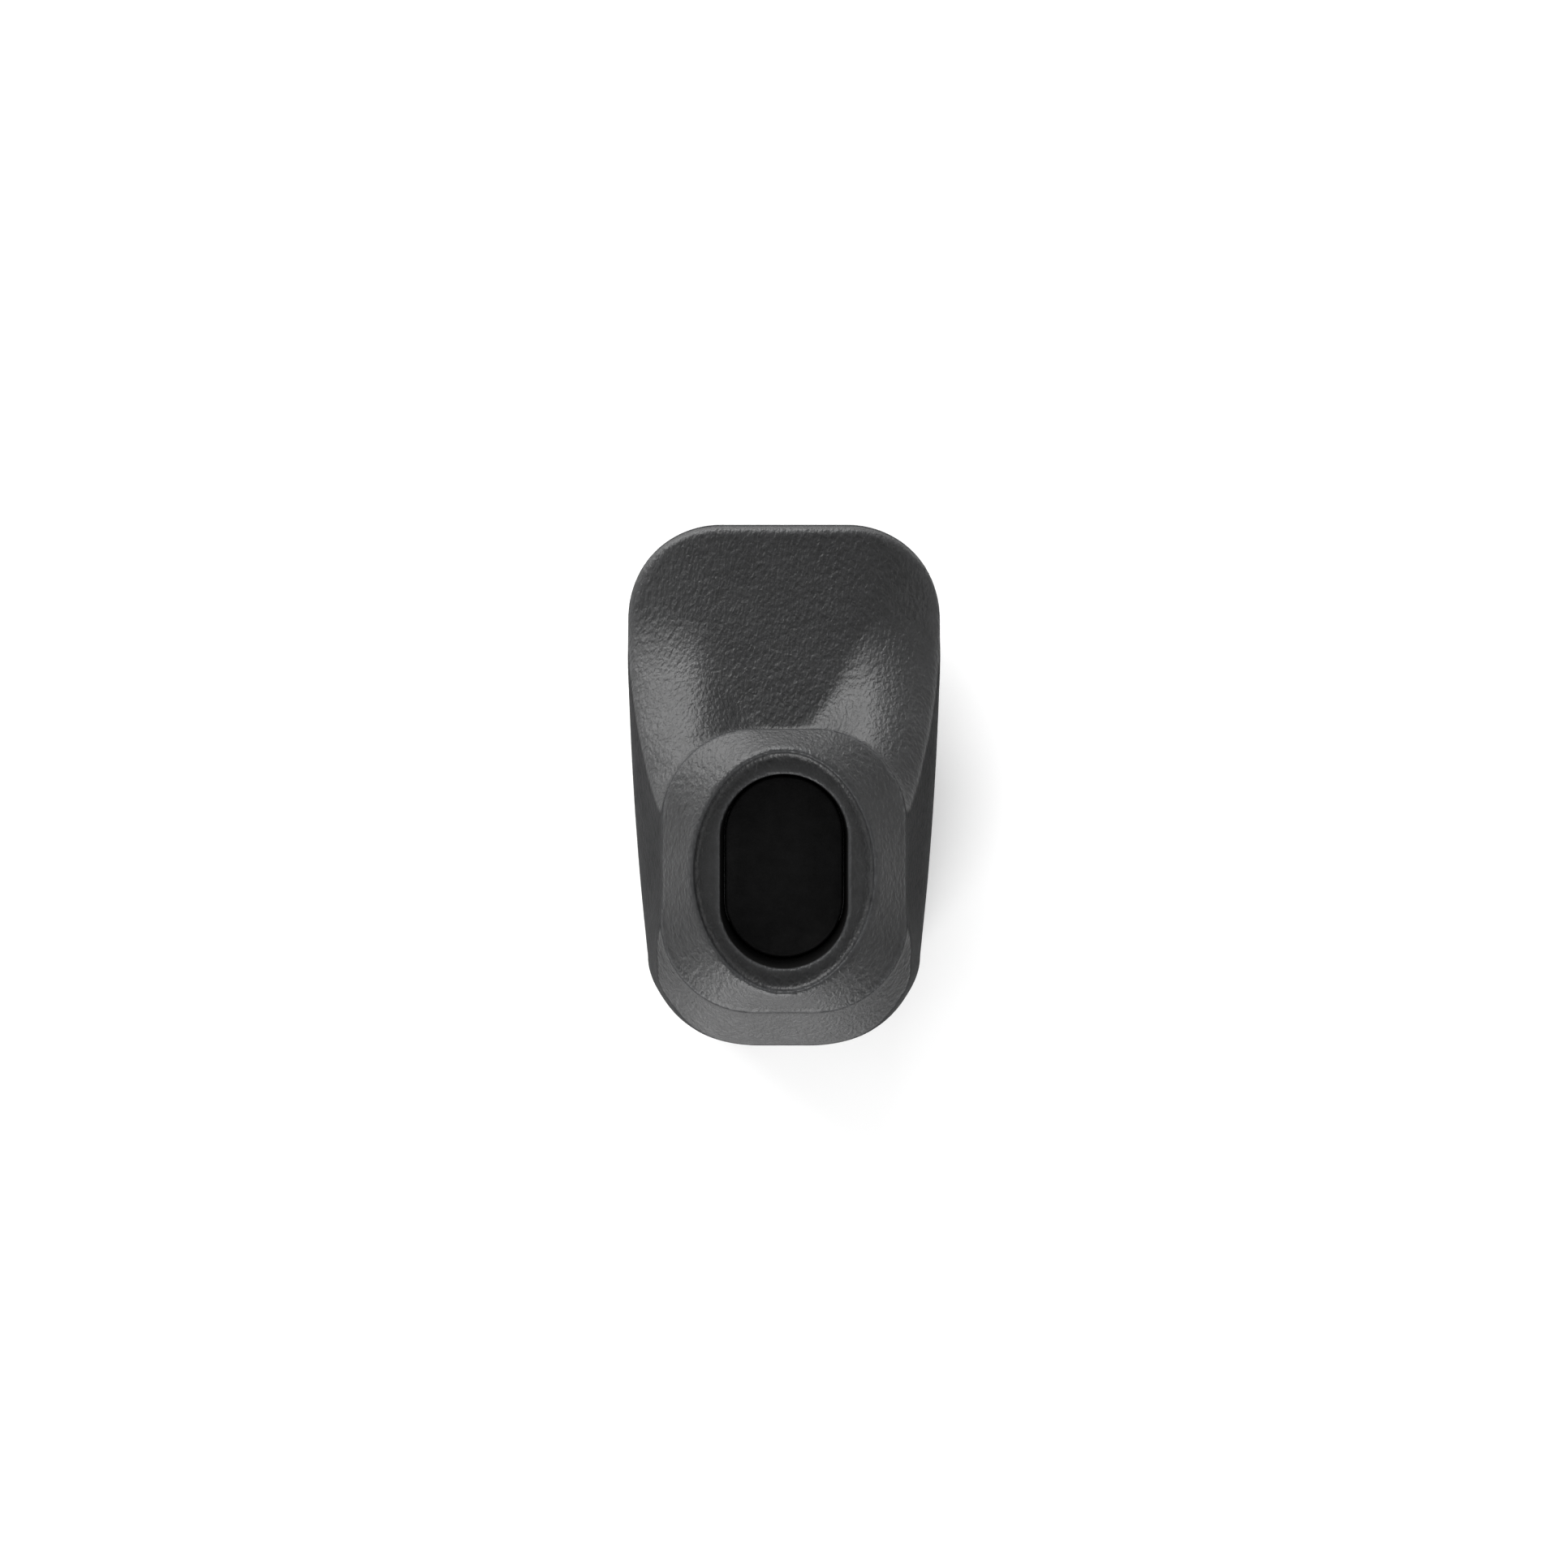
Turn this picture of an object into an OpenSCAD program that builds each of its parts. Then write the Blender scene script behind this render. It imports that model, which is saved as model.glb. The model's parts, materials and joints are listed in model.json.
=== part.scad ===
// Excavator bucket tooth: a cast tooth with a nose socket, held on its adapter by a
// drop-in lock that stands upright in an obround hole through the top of the socket.
// +Y points to the cutting edge, +Z up. The origin is where the axis of the lock
// meets the flat belly of the casting.

/* [Tooth casting] */
// Distance from the lock axis to the cutting edge
tip_y = 128.5; // [122:0.5:136]
// Distance from the lock axis to the rear end
rear_y = 66; // [62:0.5:72]
// Greatest half width, at the blade
blade_half = 60; // [56:0.5:66]
// Half width of the body just ahead of the rear corners
heel_half = 52.5; // [50:0.5:56]
// Plan radius of the corners of the blade
blade_corner_r = 36; // [30:1:38]
// Height of the parting plane, where the casting is widest
parting_z = 38; // [36:0.5:40]
// Top of the blade at the cutting edge
tip_top_z = 44; // [42:0.5:47]
// Underside of the blade at the cutting edge
tip_under_z = 30; // [26:0.5:32]

/* [Lock boss] */
// Height of the rim around the recess
boss_top_z = 98; // [96:0.5:100]
// Height of the outer edge of the sloping band
band_z = 86; // [82:0.5:88]
// Half width of the sloping band
band_half_x = 42.5; // [40:0.5:44]
// Half length of the sloping band
band_half_y = 49.3; // [47:0.5:51]
// Corner radius of the sloping band
band_corner_r = 32; // [26:1:36]
// Half width of the recess
recess_half_x = 31.2; // [29:0.2:33]
// Half length of the recess
recess_half_y = 41.2; // [39:0.2:43]
// Depth of the recess
recess_depth = 2.6; // [2:0.1:4]
// Width of the level lip around the recess
lip = 1; // [0.6:0.1:2]

/* [Nose socket] */
// Half width at the mouth
mouth_half = 41; // [38:0.5:42]
// Half width at the blind end
blind_half = 31; // [26:0.5:33]
// Floor height at the mouth
mouth_floor_z = 12; // [11:0.5:14]
// Roof height at the mouth
mouth_roof_z = 54; // [50:0.5:54]
// Floor height at the blind end
blind_floor_z = 24; // [22:0.5:26]
// Roof height at the blind end
blind_roof_z = 44; // [42:0.5:46]
// Distance from the lock axis to the blind end
blind_y = 50; // [46:0.5:52]

/* [Lock hole] */
// End radius of the obround hole
slot_r = 22; // [22:0.1:22.4]
// Distance from the lock axis to the centre of each rounded end
slot_reach = 11.5; // [11.5:0.1:11.8]
// Height of the seat that the lock stands on
seat_z = 6; // [5:0.1:6]
// Radius of the drift hole through the belly
drift_r = 9; // [8:0.1:9.2]
// Radius of the undercut groove that the cam turns into
groove_r = 28.8; // [28.5:0.1:30]
// Bottom of the undercut groove
groove_z = 44; // [43:0.5:45]
// Ceiling of the undercut groove
groove_top_z = 55.4; // [55:0.1:57]

/* [Lock] */
// Radial gap between the lock and its hole
lock_gap = 0.4; // [0.3:0.05:0.8]
// Thickness of the rubber pad under the lock
seat_pad_t = 1.5; // [1:0.1:1.5]
// Top of the lock housing
housing_top_z = 54.5; // [54.5:0.1:54.8]
// Thickness of the lid
lid_t = 3.5; // [3:0.1:3.5]
// Top face of the rubber plug
plug_top_z = 64; // [63:0.5:66]
// Radius that the ends of the cam reach
cam_reach = 28; // [27:0.1:28.2]
// Half width of the cam bar
cam_half_w = 8; // [7:0.1:8]
// Radius of the spindle in its bushes
spindle_r = 8; // [7.5:0.1:8.2]
// Radius of the head of the spindle in the lid
head_r = 11; // [10.6:0.1:11.2]
// Distance across the corners of the hexagon drive, halved
drive_r = 8; // [7:0.1:8]

/* [Hidden] */
eps = 0.01;
run_gap = 0.05;
cast_grey = [0.27, 0.27, 0.28];
lock_grey = [0.36, 0.37, 0.39];
steel_grey = [0.62, 0.63, 0.65];
bronze = [0.72, 0.53, 0.28];
black_rubber = [0.06, 0.06, 0.06];
round_fn = 96;
small_fn = 48;
fine_fn = 24;
housing_foot_z = seat_z + seat_pad_t;
housing_r = slot_r - lock_gap;
lid_top_z = housing_top_z + lid_t;

// ---------- smooth minimum and maximum ----------
function soft_min(a, b, k) = min(a, b) - pow(max(k - abs(a - b), 0), 2) / (4 * k);
function soft_max(a, b, k) = -soft_min(-a, -b, k);

// ---------- plan outline of the casting ----------
rear_corner_x = 43.5;
rear_corner_y = 31;
flank_start_y = tip_y - blade_corner_r;
flank_end_y = rear_corner_y - rear_y;
tip_flat = blade_half - blade_corner_r;
rear_flat = heel_half - rear_corner_x;
function taper(y) = pow(max(flank_start_y - y, 0) / (flank_start_y - flank_end_y), 1.8);
function flank_half(y) = blade_half - (blade_half - heel_half) * taper(y);
function tip_half(y) = tip_flat + sqrt(max(pow(blade_corner_r, 2) - pow(y - flank_start_y, 2), 0));
function rear_half(y) = rear_flat + rear_corner_x * sqrt(max(1 - pow((y - flank_end_y) / rear_corner_y, 2), 0));
function half_width(y) = y > flank_start_y ? tip_half(y) : y < flank_end_y ? rear_half(y) : flank_half(y);

// Distance inwards from the plan outline
function tip_inset(x, y) = abs(x) < tip_flat ? tip_y - y
    : blade_corner_r - norm([abs(x) - tip_flat, y - flank_start_y]);
function rear_inset(x, y) = abs(x) < rear_flat ? y + rear_y
    : let(a = (abs(x) - rear_flat) / rear_corner_x, b = (y - flank_end_y) / rear_corner_y,
        span = (rear_corner_x * a * a + rear_corner_y * b * b + eps) / (a * a + b * b + eps / rear_corner_x))
    (1 - norm([a, b])) * span;
function inset(x, y) = y > flank_start_y ? tip_inset(x, y)
    : y < flank_end_y ? rear_inset(x, y) : flank_half(y) - abs(x);

// ---------- top and underside of the casting ----------
function smooth_step(t) = let(c = min(max(t, 0), 1)) c * c * (3 - 2 * c);
// Half height of the upright band along the parting plane: low at the blade, high at the rear
function parting_band(y) = 3 + 22 * smooth_step((-46 - y) / 20);
// Distance outwards from the edge of the sloping band, negative inside it
function band_out(x, y) =
    let(qx = abs(x) - band_half_x + band_corner_r, qy = abs(y) - band_half_y + band_corner_r)
    norm([max(qx, 0), max(qy, 0)]) + min(max(qx, qy), 0) - band_corner_r;
// The shoulders leave the band level with it at the sides and lower towards the cutting edge,
// where the scoop runs in under the boss
shoulder_drop = 5;
scoop_drop = 33;
scoop_half = 30;
function drop(x, y) = smooth_step((y - 8) / 28) * (shoulder_drop + scoop_drop * exp(-pow(x / scoop_half, 2)));
shoulder_slope = 1.15;
boss_root_z = 50;
boss_fill_z = 58;
function shoulder_z(x, y) = max(boss_fill_z * (band_out(x, y) < 0 ? 1 : 0),
    band_z - drop(x, y) - shoulder_slope * abs(band_out(x, y)));
// The floor of the scoop is nearly level at the cutting edge, rises towards the boss
// and falls away towards both flanks
scoop_rise = 10;
scoop_run = 80;
scoop_flat = 18;
fall_tip = 0.002;
fall_gain = 0.006;
function scoop_share(y) = min(max(tip_y - y, 0) / scoop_run, 1);
function fall(x, y) = (fall_tip + fall_gain * scoop_share(y)) * pow(max(abs(x) - scoop_flat, 0), 2);
function scoop_z(x, y) = tip_top_z + scoop_rise * pow(scoop_share(y), 1.7) - fall(x, y);
// Fillet between scoop and shoulders: tight in the middle, a wide sweep at the sides
function sweep(x) = 8 + 20 * smooth_step((abs(x) - 8) / 26);
function flank_slope(y) = 3 - 1.6 * smooth_step((y - 45) / 50) + 2 * smooth_step((-5 - y) / 25);
function flank_z(x, y) = parting_z + parting_band(y) + flank_slope(y) * inset(x, y);
function top_z(x, y) = soft_min(soft_max(shoulder_z(x, y), scoop_z(x, y), sweep(x)), flank_z(x, y), 3);
belly_end_y = 30;
function belly_z(y) = y < belly_end_y ? 0
    : tip_under_z * pow((y - belly_end_y) / (tip_y - belly_end_y), 1.4);
function under_z(x, y) = soft_max(belly_z(y), parting_z - parting_band(y) - 8 * inset(x, y), 8);

// ---------- the casting as a grid of points, one sheet on top and one underneath ----------
across = [0, 0.16, 0.32, 0.46, 0.58, 0.68, 0.76, 0.82, 0.87, 0.915, 0.95, 0.98, 1];
across_all = concat([for (i = [len(across) - 1:-1:1]) -across[i]], across);
tip_rows = [for (a = [0, 15, 30, 45, 57, 69, 80, 90]) flank_start_y + blade_corner_r * sin(a)];
rear_rows = [for (a = [-90, -80, -69, -57, -45, -33, -22, -11, 0]) flank_end_y + rear_corner_y * sin(a)];
body_rows = [-26, -14, 0, 10, 18, 26, 34, 40, 45, 49, 52.5, 56, 60, 65, 71, 78, 85];
rows = concat(rear_rows, body_rows, tip_rows);
col_n = len(across_all);
row_n = len(rows);
top_points = [for (y = rows) for (u = across_all) let(x = u * half_width(y)) [x, y, top_z(x, y)]];
under_points = [for (y = rows) for (u = across_all) let(x = u * half_width(y)) [x, y, under_z(x, y)]];
function top_at(r, c) = r * col_n + c;
function under_at(r, c) = (row_n + r) * col_n + c;
function patch(a, b, c, d) = [[a, b, c], [a, c, d]];
top_skin = [for (r = [0:row_n - 2]) for (c = [0:col_n - 2])
    each patch(top_at(r, c), top_at(r + 1, c), top_at(r + 1, c + 1), top_at(r, c + 1))];
under_skin = [for (r = [0:row_n - 2]) for (c = [0:col_n - 2])
    each patch(under_at(r, c), under_at(r, c + 1), under_at(r + 1, c + 1), under_at(r + 1, c))];
end_skin = [for (c = [0:col_n - 2])
    each concat(
        patch(top_at(0, c), top_at(0, c + 1), under_at(0, c + 1), under_at(0, c)),
        patch(top_at(row_n - 1, c + 1), top_at(row_n - 1, c),
            under_at(row_n - 1, c), under_at(row_n - 1, c + 1)))];
side_skin = [for (r = [0:row_n - 2])
    each concat(
        patch(top_at(r + 1, 0), top_at(r, 0), under_at(r, 0), under_at(r + 1, 0)),
        patch(top_at(r, col_n - 1), top_at(r + 1, col_n - 1),
            under_at(r + 1, col_n - 1), under_at(r, col_n - 1)))];
module outer_form() {
    polyhedron(points = concat(top_points, under_points),
        faces = concat(top_skin, under_skin, end_skin, side_skin), convexity = 6);
}

// ---------- shared shapes ----------
module obround(r, reach) {
    translate([0, reach]) circle(r, $fn = round_fn);
    translate([0, -reach]) circle(r, $fn = round_fn);
    square([2 * r, 2 * reach], center = true);
}
module obround_prism(r, z_low, z_high) {
    translate([0, 0, z_low]) linear_extrude(z_high - z_low) obround(r, slot_reach);
}
module disc(r, z_low, z_high) {
    translate([0, 0, z_low]) cylinder(r = r, h = z_high - z_low, $fn = round_fn);
}
module collar(r_out, r_in, z_low, z_high) {
    difference() {
        disc(r_out, z_low, z_high);
        disc(r_in, z_low - 1, z_high + 1);
    }
}
module round_seal(ring_r, section_r, z) {
    translate([0, 0, z]) rotate_extrude($fn = round_fn) translate([ring_r, 0]) circle(section_r, $fn = fine_fn);
}

// ---------- the casting ----------
// The oval recess is a little narrower across its corners than an ellipse
oval_power = 1.95;
module oval(half_x, half_y) {
    polygon([for (a = [0:7.5:352.5])
        [sign(cos(a)) * half_x * pow(abs(cos(a)), 2 / oval_power),
         sign(sin(a)) * half_y * pow(abs(sin(a)), 2 / oval_power)]]);
}
module socket_slice(half, floor_z, roof_z, y) {
    corner = 6;
    for (x = [-half + corner, half - corner]) {
        for (z = [floor_z + corner, roof_z - corner]) {
            translate([x, y, z]) rotate([90, 0, 0]) cylinder(r = corner, h = 0.2, $fn = fine_fn);
        }
    }
}
module nose_socket() {
    over = 4;
    per_y = (mouth_half - blind_half) / (rear_y + blind_y);
    floor_per_y = (blind_floor_z - mouth_floor_z) / (rear_y + blind_y);
    roof_per_y = (mouth_roof_z - blind_roof_z) / (rear_y + blind_y);
    hull() {
        socket_slice(mouth_half + over * per_y, mouth_floor_z - over * floor_per_y,
            mouth_roof_z + over * roof_per_y, -rear_y - over);
        socket_slice(blind_half, blind_floor_z, blind_roof_z, blind_y);
    }
}
module band_outline() {
    for (x = [-1, 1]) {
        for (y = [-1, 1]) {
            translate([x * (band_half_x - band_corner_r), y * (band_half_y - band_corner_r)])
                circle(band_corner_r, $fn = round_fn);
        }
    }
    square([2 * (band_half_x - band_corner_r), 2 * band_half_y], center = true);
    square([2 * band_half_x, 2 * (band_half_y - band_corner_r)], center = true);
}
module boss() {
    translate([0, 0, boss_root_z]) linear_extrude(band_z - boss_root_z) band_outline();
    hull() {
        translate([0, 0, band_z]) linear_extrude(eps) hull() for (x = [-1, 1]) for (y = [-1, 1])
            translate([x * (band_half_x - band_corner_r), y * (band_half_y - band_corner_r)])
                circle(band_corner_r, $fn = small_fn);
        translate([0, 0, boss_top_z - eps]) linear_extrude(eps) oval(recess_half_x + lip, recess_half_y + lip);
    }
}
module tooth_casting() {
    color(cast_grey) difference() {
        union() {
            outer_form();
            boss();
        }
        translate([0, 0, boss_top_z - recess_depth]) linear_extrude(10) oval(recess_half_x, recess_half_y);
        nose_socket();
        obround_prism(slot_r, seat_z, boss_top_z + 5);
        disc(drift_r, -5, seat_z + 1);
        disc(groove_r, groove_z, groove_top_z);
    }
}

// ---------- the lock ----------
cam_low_z = 48.2;
cam_high_z = 54.2;
bay_floor_z = 48;
// Bushes, washer and wave spring around the spindle
bush_out_r = 11;
lower_bush_low_z = 15.5;
lower_bush_high_z = 27;
upper_bush_low_z = 33;
washer_t = 1;
washer_r = 15;
washer_low_z = cam_low_z - 0.02 - washer_t;
wave_t = 1.6;
wave_low_z = bay_floor_z - washer_t - wave_t;
// Seals at the head and the foot of the spindle
head_seal_r = 0.98;
head_seal_z = housing_top_z + 1.8;
foot_seal_r = 1.38;
foot_seal_z = 28.6;
// Retaining ring and cap at the foot
foot_z = 11.5;
ring_groove_z = 12.5;
ring_t = 1.5;
ring_gap = 0.1;
cap_r = bush_out_r + 2;
cap_t = 2.5;
// Screws and dowels that hold the lid on the pillars
screw_x = 13.5;
screw_y = 19;
screw_r = 3;
screw_low_z = 40;
screw_head_r = 5.4;
screw_head_t = 2.4;
screw_drive_r = 2.3;
dowel_x = 16.2;
dowel_y = 11;
dowel_r = 1.5;
dowel_low_z = 46;
pillar_gap = 0.4;
// Pressure shoe, the rubber behind it and their screws
pad_half_x = 13;
pad_low_z = 15;
pad_high_z = 40;
pad_back_y = 20;
pad_front_y = 25;
shoe_back_y = 27;
shoe_screw_x = 8;
shoe_screw_z = 27.5;
shoe_screw_r = 2.5;
shoe_screw_end_y = 15;
shoe_screw_length = 13.5;

module pillar_side(x_sign) {
    translate([x_sign > 0 ? cam_half_w + pillar_gap : -60, x_sign > 0 ? cam_half_w + pillar_gap : -60, 0])
        square(60 - cam_half_w - pillar_gap);
}
// Room for the cam to swing a quarter turn between the two pillars
module cam_bay() {
    translate([0, 0, bay_floor_z]) linear_extrude(housing_top_z - bay_floor_z + 1) difference() {
        square([80, 80], center = true);
        pillar_side(1);
        pillar_side(-1);
    }
}
module shoe_pocket() {
    translate([-pad_half_x, pad_back_y, pad_low_z]) cube([2 * pad_half_x, 30, pad_high_z - pad_low_z]);
}
module lock_housing() {
    color(lock_grey) difference() {
        obround_prism(housing_r, housing_foot_z, housing_top_z);
        cam_bay();
        disc(washer_r + 0.3, wave_low_z, bay_floor_z + 1);
        disc(bush_out_r, foot_z, bay_floor_z);
        disc(cap_r, housing_foot_z - 1, housing_foot_z + cap_t);
        disc(bush_out_r + 0.5, housing_foot_z, foot_z + ring_t + 2);
        shoe_pocket();
        for (x = [-shoe_screw_x, shoe_screw_x]) {
            translate([x, shoe_screw_end_y, shoe_screw_z]) rotate([-90, 0, 0])
                cylinder(r = shoe_screw_r, h = 10, $fn = small_fn);
        }
        for (s = [-1, 1]) {
            translate([s * screw_x, s * screw_y, screw_low_z])
                cylinder(r = screw_r, h = 20, $fn = small_fn);
            translate([s * dowel_x, s * dowel_y, dowel_low_z])
                cylinder(r = dowel_r, h = 20, $fn = small_fn);
        }
    }
}
module lock_lid() {
    color(lock_grey) difference() {
        obround_prism(housing_r, housing_top_z, lid_top_z);
        disc(head_r + run_gap, housing_top_z - 1, lid_top_z + 1);
        disc(head_r + 2.2, housing_top_z + 0.8, housing_top_z + 2.8);
        for (s = [-1, 1]) {
            translate([s * screw_x, s * screw_y, housing_top_z - 1]) cylinder(r = screw_r, h = 9, $fn = small_fn);
            translate([s * screw_x, s * screw_y, lid_top_z - screw_head_t])
                cylinder(r1 = screw_r, r2 = screw_head_r, h = screw_head_t, $fn = small_fn);
            translate([s * dowel_x, s * dowel_y, housing_top_z - 1]) cylinder(r = dowel_r, h = 9, $fn = small_fn);
        }
    }
}
module lid_screws() {
    color(steel_grey) for (s = [-1, 1]) translate([s * screw_x, s * screw_y, 0]) difference() {
        union() {
            translate([0, 0, screw_low_z])
                cylinder(r = screw_r, h = lid_top_z - screw_head_t - screw_low_z, $fn = small_fn);
            translate([0, 0, lid_top_z - screw_head_t])
                cylinder(r1 = screw_r, r2 = screw_head_r, h = screw_head_t, $fn = small_fn);
        }
        translate([0, 0, lid_top_z - screw_head_t + 0.2]) cylinder(r = screw_drive_r, h = 3, $fn = 6);
    }
}
module lid_dowels() {
    color(steel_grey) for (s = [-1, 1]) translate([s * dowel_x, s * dowel_y, dowel_low_z])
        cylinder(r = dowel_r, h = lid_top_z - 0.2 - dowel_low_z, $fn = small_fn);
}
module cam_spindle() {
    color(steel_grey) difference() {
        union() {
            disc(spindle_r, foot_z, cam_low_z + 1);
            disc(head_r, cam_high_z - 1, lid_top_z - 0.2);
            translate([0, 0, cam_low_z]) linear_extrude(cam_high_z - cam_low_z) intersection() {
                circle(cam_reach, $fn = round_fn);
                union() {
                    square([2 * cam_half_w, 70], center = true);
                    circle(head_r, $fn = round_fn);
                }
            }
        }
        collar(spindle_r + 3, spindle_r - 1, ring_groove_z, ring_groove_z + ring_t);
        translate([0, 0, cam_low_z + 1]) cylinder(r = drive_r, h = 20, $fn = 6);
    }
}
module upper_bush() {
    color(bronze) collar(bush_out_r, spindle_r + run_gap, upper_bush_low_z, wave_low_z);
}
module lower_bush() {
    color(bronze) collar(bush_out_r, spindle_r + run_gap, lower_bush_low_z, lower_bush_high_z);
}
module thrust_washer() {
    color(steel_grey) collar(washer_r, spindle_r + 0.3, washer_low_z, washer_low_z + washer_t);
}
module wave_spring() {
    color(steel_grey) collar(washer_r - 0.5, bush_out_r + 0.5, wave_low_z, washer_low_z);
}
module head_seal() {
    color(black_rubber) round_seal(head_r + run_gap + 1, head_seal_r, head_seal_z);
}
module foot_seal() {
    color(black_rubber) round_seal(spindle_r + run_gap + 1.4, foot_seal_r, foot_seal_z);
}
module retaining_ring() {
    color(steel_grey) difference() {
        collar(spindle_r + 2.2, spindle_r - 0.9, ring_groove_z + ring_gap, ring_groove_z + ring_t - ring_gap);
        translate([-1.5, 0, ring_groove_z - 1]) cube([3, 20, 5]);
    }
}
module foot_cap() {
    color(steel_grey) disc(cap_r, housing_foot_z, housing_foot_z + cap_t);
}
module take_up_pad() {
    color(black_rubber) difference() {
        translate([-pad_half_x + 0.5, pad_back_y, pad_low_z + 0.5])
            cube([2 * pad_half_x - 1, pad_front_y - pad_back_y, pad_high_z - pad_low_z - 1]);
        for (x = [-shoe_screw_x, shoe_screw_x]) {
            translate([x, pad_back_y - 1, shoe_screw_z]) rotate([-90, 0, 0])
                cylinder(r = shoe_screw_r, h = 10, $fn = small_fn);
        }
    }
}
module pressure_shoe() {
    color(steel_grey) difference() {
        intersection() {
            translate([-pad_half_x + 0.3, shoe_back_y, pad_low_z + 0.3])
                cube([2 * pad_half_x - 0.6, 20, pad_high_z - pad_low_z - 0.6]);
            obround_prism(housing_r, 0, 60);
        }
        for (x = [-shoe_screw_x, shoe_screw_x]) {
            translate([x, shoe_back_y - 1, shoe_screw_z]) rotate([-90, 0, 0])
                cylinder(r = shoe_screw_r + run_gap, h = 20, $fn = small_fn);
        }
    }
}
module shoe_screws() {
    color(steel_grey) for (x = [-shoe_screw_x, shoe_screw_x]) {
        translate([x, shoe_screw_end_y, shoe_screw_z]) rotate([-90, 0, 0])
            cylinder(r = shoe_screw_r, h = shoe_screw_length, $fn = small_fn);
    }
}
module seat_pad() {
    color(black_rubber) difference() {
        obround_prism(housing_r, seat_z, housing_foot_z);
        disc(drift_r + 1, seat_z - 1, housing_foot_z + 1);
    }
}
// ---------- the plug that keeps soil out of the lock ----------
core_r = 16;
core_low_z = lid_top_z + 1.5;
core_high_z = core_low_z + 2;
core_hole_r = 3;
plug_gap = 0.3;
module plug_core() {
    color(steel_grey) difference() {
        obround_prism(core_r, core_low_z, core_high_z);
        disc(core_hole_r, lid_top_z, plug_top_z);
    }
}
module dirt_plug() {
    color(black_rubber) difference() {
        obround_prism(slot_r - plug_gap, lid_top_z, plug_top_z);
        obround_prism(core_r, core_low_z, core_high_z);
    }
}

tooth_casting();
lock_housing();
lock_lid();
lid_screws();
lid_dowels();
cam_spindle();
upper_bush();
lower_bush();
thrust_washer();
wave_spring();
head_seal();
foot_seal();
retaining_ring();
foot_cap();
take_up_pad();
pressure_shoe();
shoe_screws();
seat_pad();
dirt_plug();
plug_core();
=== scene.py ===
import json
import math

import bmesh
import bpy
import numpy as np
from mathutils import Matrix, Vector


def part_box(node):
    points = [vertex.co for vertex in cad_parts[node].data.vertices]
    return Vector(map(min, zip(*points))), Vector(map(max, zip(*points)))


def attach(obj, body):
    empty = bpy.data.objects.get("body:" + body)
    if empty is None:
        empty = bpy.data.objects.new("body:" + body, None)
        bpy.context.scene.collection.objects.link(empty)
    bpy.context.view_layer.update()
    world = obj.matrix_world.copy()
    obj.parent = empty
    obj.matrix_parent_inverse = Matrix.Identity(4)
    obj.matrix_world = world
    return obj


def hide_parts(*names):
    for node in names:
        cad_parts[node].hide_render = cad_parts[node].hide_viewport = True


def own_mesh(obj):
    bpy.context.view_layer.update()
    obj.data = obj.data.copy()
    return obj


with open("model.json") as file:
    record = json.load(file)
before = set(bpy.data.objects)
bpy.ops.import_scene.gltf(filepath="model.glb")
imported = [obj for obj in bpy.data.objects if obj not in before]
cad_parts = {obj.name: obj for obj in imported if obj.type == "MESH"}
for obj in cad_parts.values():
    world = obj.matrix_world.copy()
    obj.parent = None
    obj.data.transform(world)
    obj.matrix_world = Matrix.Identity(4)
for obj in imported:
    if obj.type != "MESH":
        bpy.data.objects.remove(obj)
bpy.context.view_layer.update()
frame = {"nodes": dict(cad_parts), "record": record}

import openvdb
from mathutils import Vector

mm = 0.001
print("frame loaded:", len(frame["nodes"]), "nodes")


# short ways to build node trees
def newMaterial(name):
    material = bpy.data.materials.new(name)
    material.use_nodes = True
    material.node_tree.nodes.clear()
    return material, material.node_tree


def addNode(tree, kind, inputs=None, **settings):
    node = tree.nodes.new(kind)
    for key, value in settings.items():
        setattr(node, key, value)
    for key, value in (inputs or {}).items():
        node.inputs[key].default_value = value
    return node


def connect(tree, fromNode, fromSocket, toNode, toSocket):
    tree.links.new(fromNode.outputs[fromSocket], toNode.inputs[toSocket])


def colourRamp(tree, stops):
    ramp = addNode(tree, "ShaderNodeValToRGB")
    elements = ramp.color_ramp.elements
    while len(elements) < len(stops):
        elements.new(0.5)
    for element, (place, value) in zip(elements, stops):
        element.position = place
        element.color = (value, value, value, 1) if isinstance(value, float) else (*value, 1)
    return ramp


def softTone(tree, noise, low, high):
    # spreads the middle of a noise over the whole range
    tone = colourRamp(tree, [(low, 0.0), (high, 1.0)])
    tree.links.new(noise, tone.inputs["Fac"])
    return tone.outputs["Color"]


def noiseFrom(tree, vector, scale, detail=2.0, roughness=0.5, distortion=0.0):
    noise = addNode(tree, "ShaderNodeTexNoise", {
        "Scale": scale, "Detail": detail, "Roughness": roughness, "Distortion": distortion})
    tree.links.new(vector, noise.inputs["Vector"])
    return noise


def mixValues(tree, kind, a, b):
    node = addNode(tree, "ShaderNodeMath", operation=kind)
    for index, value in enumerate((a, b)):
        if isinstance(value, (int, float)):
            node.inputs[index].default_value = value
        else:
            tree.links.new(value, node.inputs[index])
    return node.outputs[0]


def mixColours(tree, factor, a, b):
    node = addNode(tree, "ShaderNodeMix", data_type="RGBA")
    # sockets 0, 6 and 7 are the factor and the two colours
    for socket, value in ((node.inputs[0], factor), (node.inputs[6], a), (node.inputs[7], b)):
        if isinstance(value, (int, float)):
            socket.default_value = value
        elif isinstance(value, tuple):
            socket.default_value = (*value, 1)
        else:
            tree.links.new(value, socket)
    return node.outputs[2]


def bumpFrom(tree, height, strength, distance, below=None):
    bump = addNode(tree, "ShaderNodeBump", {"Strength": strength, "Distance": distance})
    tree.links.new(height, bump.inputs["Height"])
    if below is not None:
        tree.links.new(below, bump.inputs["Normal"])
    return bump.outputs["Normal"]


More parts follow.
